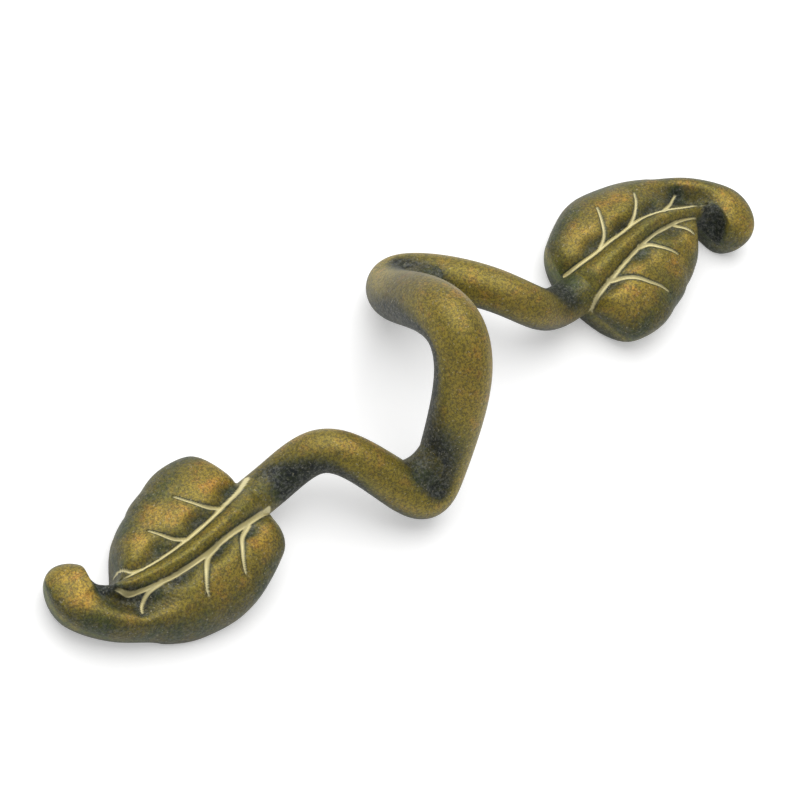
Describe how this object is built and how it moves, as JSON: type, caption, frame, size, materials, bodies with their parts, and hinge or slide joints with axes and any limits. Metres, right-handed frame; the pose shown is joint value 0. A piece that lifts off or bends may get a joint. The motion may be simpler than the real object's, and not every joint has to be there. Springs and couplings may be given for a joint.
{
  "type": "leaf shaped drawer pull",
  "caption": "Cast brass drawer pull in antique bronze: a bent vine forms the grip and runs at each end into a puffed, veined leaf with a curled tip; screws from behind.",
  "frame": {"origin": "on the plane of the leaves' flat backs, under the middle of the vine", "axes": "X runs from leaf to leaf, Z points out from the drawer front, Y is across"},
  "size_m": [0.143, 0.0389, 0.0297],
  "materials": {
    "antique_brass": "antique bronze patina, dark in the recesses and rubbed to olive gold on the crowns, satin"
  },
  "bodies": {
    "root": {"vine_leaf_pull": "antique_brass"}
  },
  "joints": []
}
